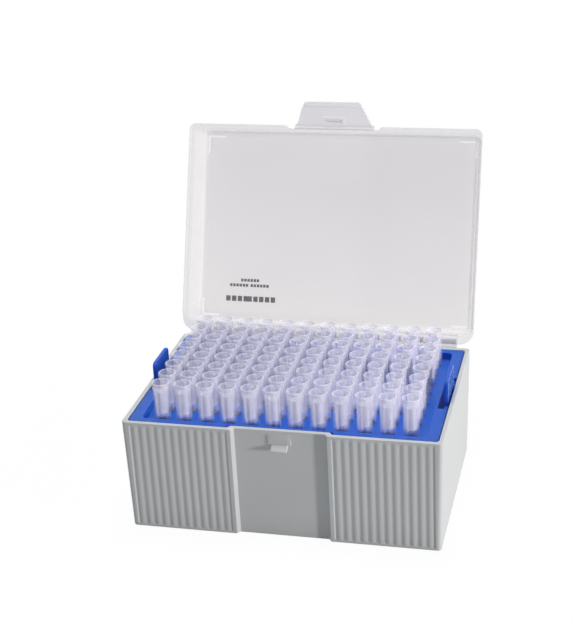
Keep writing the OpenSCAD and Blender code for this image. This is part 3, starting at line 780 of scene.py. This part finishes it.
# A knuckle is a ring with a slot below, through which it snaps on the bar. There are two
# between the lugs and one beyond each outer lug.
knuckle_section = np.concatenate([knuckle_arc(knuckle_r, 40), knuckle_arc(bore_r, 32)[::-1]])
outer_lug = hinge_half - bracket_in
spans = (
    (bracket_t / 2 + knuckle_gap, outer_lug - bracket_t - knuckle_gap),
    (outer_lug + knuckle_gap, hinge_half),
)
knuckles = [prism(knuckle_section, side * start, side * end, 0) for side in (-1, 1) for start, end in spans]
lid_knuckles = shaped("lid_knuckles", opened(together(*knuckles)))

# Print on the lid's top, as plain upright blocks in three lines.
print_lines = (
    # y of the line's lower edge, its height, and where each group starts and how many blocks it has
    (31.2, 2.4, ((-49.5, 4), (-39.6, 5))),
    (25.7, 1.3, ((-47.9, 6), (-38.4, 6))),
    (23.4, 1.3, ((-42.9, 6),)),
)
# Steps and widths are shares of a line's height.
block_step, block_wide, ink_sunk, ink_t = 1.12, 0.86, 0.02, 0.03
blocks = []
for y, height, groups in print_lines:
    for start, count in groups:
        for k in range(count):
            x = start + block_step * height * k
            wide = (x, x + block_wide * height)
            blocks.append(block(wide, (y, y + height), lid_top - ink_sunk, lid_top + ink_t))
lid_print = shaped("lid_print_blocks", opened(together(*blocks)))

# Frosted polypropylene. A fine matt texture makes the top's outer face milkier than the walls, and its alpha
# denser towards its free end. The top's colour is painted greyer towards its free end and lighter towards the
# hinge, which is painted shade. The corner ribs on it are polished.
shade_and_frost_low, shade_and_frost_high = 55, 135
frost = Finish("lid_plastic", IOR=1.49, Specular_IOR_Level=0.3)
edge_on = frost.node("ShaderNodeLayerWeight", inputs={"Blend": 0.35}, out="Facing")
clouds = frost.noise(30, 3)
grain = frost.noise(0.4, 2)
outward = (0, math.sin(opened_by), math.cos(opened_by))
depth = frost.along(outward)
face = hinge_y * outward[1] + hinge_z * outward[2] + lid_top - hinge_z
matt = frost.band(depth, (face - 0.9) / 1000, (face - 0.2) / 1000)
polished = frost.band(depth, (face + 0.1) / 1000, (face + 0.6) / 1000)
upright = frost.node("ShaderNodeSeparateXYZ", inputs={0: frost.place}, out="Z")
free_end = frost.band(upright, shade_and_frost_low / 1000, shade_and_frost_high / 1000)
wall_milk = 0.23 + 0.03 * clouds + 0.1 * edge_on ** 2.0
# Painted shade: the top's colour goes greyer from the hinge towards the free end.
matt_colour_painted_shade = frost.between(free_end, (0.97, 0.90, 0.91), (0.82, 0.785, 0.815))
lid_plastic = frost.wear(
    Base_Color=frost.between(0.2 * clouds + 0.8 * matt, (0.62, 0.60, 0.62), matt_colour_painted_shade),
    Roughness=0.28 + 0.1 * grain,
    Alpha=frost.see_through(wall_milk + (0.20 + 0.17 * free_end) * matt - 0.4 * polished, 0.4),
    Normal=frost.bump(grain, 0.004),
)

# The knuckles are the same plastic, thick enough to look milky all through.
milky = Finish("milky_plastic", IOR=1.49, Specular_IOR_Level=0.3)
clouds = milky.noise(12, 3)
grain = milky.noise(0.4, 2)
milky_plastic = milky.wear(
    Base_Color=milky.between(clouds, (0.80, 0.78, 0.81), (0.85, 0.83, 0.85)),
    Roughness=0.3 + 0.1 * grain,
    Alpha=milky.see_through(0.42 + 0.04 * clouds, 0.4),
    Normal=milky.bump(grain, 0.004),
)


def carried(piece, move):
    """Moves a piece's points by a function of a part."""
    points = np.empty(len(piece.data.vertices) * 3)
    piece.data.vertices.foreach_get("co", points)
    points, _ = move((points.reshape(-1, 3) * 1000, None))
    piece.data.vertices.foreach_set("co", (points / 1000).ravel())
    piece.data.update()


carried(lid, opened)
finished(lid, lid_plastic, "lid", "lid", "lid")
finished(lid_knuckles, milky_plastic, "lid", "lid", "lid")
ink = Finish("print_ink", Roughness=0.6)
speckle = ink.noise(0.3, 2)
print_ink = ink.wear(Base_Color=ink.between(speckle, (0.02, 0.02, 0.025), (0.05, 0.05, 0.055)))
finished(lid_print, print_ink, "lid", "lid", "lid")

# ---- Latch tab ----
# A tab moulded with the lid's front edge and bent at a thin fold. It has a slot in a raised
# pad, and a catch along its end that snaps under the lug.

latch = next(j for j in frame["joints"] if j["name"] == "latch_fold")
tab_rest = math.radians(latch["range_deg"][1])
fold_y, fold_z = -43.35, 49.25
tab_in, tab_t, fold_r = 0.687, 1.1, 0.55
tab_half, tab_step, tab_step_h = 17.35, 1.2, 1.6
shoulder_half, shoulder, end_half, tab_l = 13.2, 10.2, 11.7, 12.4
catch_h, catch_in = 11.05, 1.6
slot_half, slot_near, slot_far = 3.45, -2.1, -3.5
pad_half, pad_near, pad_far = 4.9, -0.1, -5.5


def tab_hung(part):
    """Turns a part, made hanging from its fold at the origin, to its rest angle on the open lid.

    A point y, z from the fold goes to (c y + s z, c z - s y), and then turns with the lid.
    """
    points, faces = part
    c, s = math.cos(tab_rest), math.sin(tab_rest)
    y, z = points[:, 1], points[:, 2]
    return opened((np.column_stack([points[:, 0], fold_y + c * y + s * z, fold_z - s * y + c * z]), faces))


half_tab = [
    # reach, across, up
    (0, tab_half, 0.5), (0, tab_half, -0.2), (0.3, tab_half - tab_step, -tab_step_h),
    (1.5, shoulder_half, -shoulder), (0.8, end_half, -tab_l),
]
tab_plan = soften(half_tab + [(reach, -x, z) for reach, x, z in half_tab[::-1]])
tab = shaped("latch_tab_plate", prism(tab_plan, -tab_in - tab_t, -tab_in, 1))
pad = soften([(1.2, x, z) for x, z in (
    (-pad_half, pad_far), (pad_half, pad_far), (pad_half, pad_near), (-pad_half, pad_near))])
join(tab, prism(pad, -tab_in - tab_t / 2, -tab_in + 0.35, 1))
slot = [(-slot_half, slot_far), (slot_half, slot_far), (slot_half, slot_near), (-slot_half, slot_near)]
cut(tab, prism(slot, -tab_in - tab_t / 2, 1, 1))
join(tab, prism([
    (-tab_in - 0.5, -catch_h), (-tab_in + catch_in / 2, -catch_h), (-tab_in + catch_in, -catch_h - 0.4),
    (-tab_in, -tab_l), (-tab_in - 0.5, -tab_l),
], -end_half, end_half, 0))
join(tab, prism([
    (-tab_in - tab_t, -fold_r), (0, -fold_r), (0, fold_r), (-tab_in - tab_t, fold_r),
], -tab_half, tab_half, 0))
join(tab, bar((0, 0), fold_r, -tab_half, tab_half, 20))
carried(tab, tab_hung)
eased(tab, 0.15)

# Frosted like the lid's top. The slot, the catch, the fold and two small pin marks are painted deeper in
# tone, which is painted shade for these hollows, edges and creases.
pin_x, pin_down, pin_r = 3.4, 3.9, 0.45
tab_frost = Finish("tab_plastic", IOR=1.49, Specular_IOR_Level=0.2)
clouds = tab_frost.noise(12, 3)
grain = tab_frost.noise(0.4, 2)
(fold_at, down_at), _ = tab_hung((np.array([[0, 0, 0], [0, 0, -1]], float), None))
down = down_at - fold_at
at_x = tab_frost.node("ShaderNodeSeparateXYZ", inputs={0: tab_frost.place}, out="X")
off_middle = tab_frost.node("ShaderNodeMath", {"operation": "ABSOLUTE"}, {0: at_x})
along = tab_frost.along(tuple(down)) - float(down @ fold_at) / 1000
catch_shade = tab_frost.band(along, (catch_h - 0.3) / 1000, (catch_h + 0.1) / 1000)
fold = tab_frost.band(along, 1.2 / 1000, 0.6 / 1000)
slot_shade = (
    tab_frost.band(off_middle, (slot_half + 0.2) / 1000, (slot_half - 0.1) / 1000)
    * tab_frost.band(along, (-slot_near - 0.2) / 1000, (-slot_near + 0.1) / 1000)
    * tab_frost.band(along, (-slot_far + 0.2) / 1000, (-slot_far - 0.1) / 1000)
)
beside, beyond = off_middle - pin_x / 1000, along - pin_down / 1000
pin_hole_shade = tab_frost.band((beside * beside + beyond * beyond) ** 0.5, pin_r / 1000, (pin_r - 0.15) / 1000)
# Painted shade: a darker colour over the slot, the catch's edge, the fold and the two pin marks.
tab_plastic = tab_frost.wear(
    Base_Color=tab_frost.between(
        0.55 * catch_shade + 0.5 * fold + 0.8 * slot_shade + 0.8 * pin_hole_shade, (0.90, 0.87, 0.905), (0.42, 0.40, 0.42)),
    Roughness=0.34 + 0.1 * grain + 0.03 * clouds,
    Alpha=tab_frost.see_through(0.42 + 0.04 * clouds, 0.4),
    Normal=tab_frost.bump(grain, 0.004),
)
finished(tab, tab_plastic, "lid", "latch", "latch_tab")

# ---- Studio ----
# A white floor and surroundings, a soft lamp on the right and one above, and the camera.

scene = bpy.context.scene
scene.view_settings.view_transform = "Standard"
scene.cycles.transparent_max_bounces = 40


def seen(shading):
    """1 for the rays of the camera, of reflections and through clear plastic, and 0 for the rest."""
    rays = shading.ray("Camera")
    for kind in ("Glossy", "Transmission"):
        rays = rays.maths("MAXIMUM", rays, shading.ray(kind))
    return rays


floor_span, floor_top, paper_t = (-1500, 1500), -0.05, 1.0
white = (1, 1, 1)
floor = shaped("floor", block(floor_span, floor_span, floor_top - paper_t, floor_top))
paper = Finish("floor_paper", Roughness=0.9)
sight = seen(paper)
fibres = paper.between(paper.noise(40, 2), (0.52, 0.52, 0.52), (0.54, 0.54, 0.54))
paper.wear(Base_Color=paper.between(sight, fibres, white))
glow = paper.node("ShaderNodeEmission", inputs={"Color": (1, 1, 1, 1), "Strength": 1.0})
reach = paper.node("ShaderNodeVectorMath", {"operation": "LENGTH"}, {0: paper.place}, out="Value")
mixed = paper.node("ShaderNodeMixShader", inputs={
    0: sight * (0.95 + 0.05 * paper.band(reach, 0.12, 0.3)), 1: Wire(paper.skin.outputs[0]), 2: glow,
})
feed(paper.tree.nodes["Material Output"].inputs["Surface"], mixed)
floor.data.materials.append(paper.material)

world = bpy.data.worlds.new("studio")
scene.world = world
world.use_nodes = True
sky = Nodes(world.node_tree)
feed(sky.tree.nodes["Background"].inputs["Color"], sky.between(seen(sky), (0.18, 0.19, 0.20), white))

lit_point = (0, 0, 0.05)


def lamp(name, place, size, power, colour):
    """Square area lamp, in metres and watts, that faces the object's middle."""
    light = bpy.data.lights.new(name, "AREA")
    light.shape, light.size, light.energy, light.color = "SQUARE", size, power, colour
    holder = bpy.data.objects.new(name, light)
    holder.location = place
    holder.rotation_euler = (Vector(place) - Vector(lit_point)).to_track_quat("Z", "Y").to_euler()
    scene.collection.objects.link(holder)


lamp("key", (1.43, -0.44, 0.16), 0.12, 16.5, (1, 0.965, 0.93))
lamp("top", (0, 0.15, 1.6), 0.8, 20, (0.97, 0.99, 1))

azimuth, elevation, roll_angle, distance = 14.394, 23.02, -2.835, 638.4
target = np.array([-17.76, 44.17, 59.85])
az, el, roll_by = (math.radians(v) for v in (azimuth, elevation, roll_angle))
lens = bpy.data.cameras.new("camera")
lens.lens, lens.sensor_width, lens.shift_x = 85.78, 36, 0.005
camera = bpy.data.objects.new("camera", lens)
scene.collection.objects.link(camera)
away = np.array([math.sin(az) * math.cos(el), -math.cos(az) * math.cos(el), math.sin(el)])
camera.matrix_world = (
    Matrix.Translation((target + distance * away) / 1000)
    @ Matrix.Rotation(az, 4, "Z")
    @ Matrix.Rotation(math.pi / 2 - el, 4, "X")
    @ Matrix.Rotation(roll_by, 4, "Z")
)
scene.camera = camera
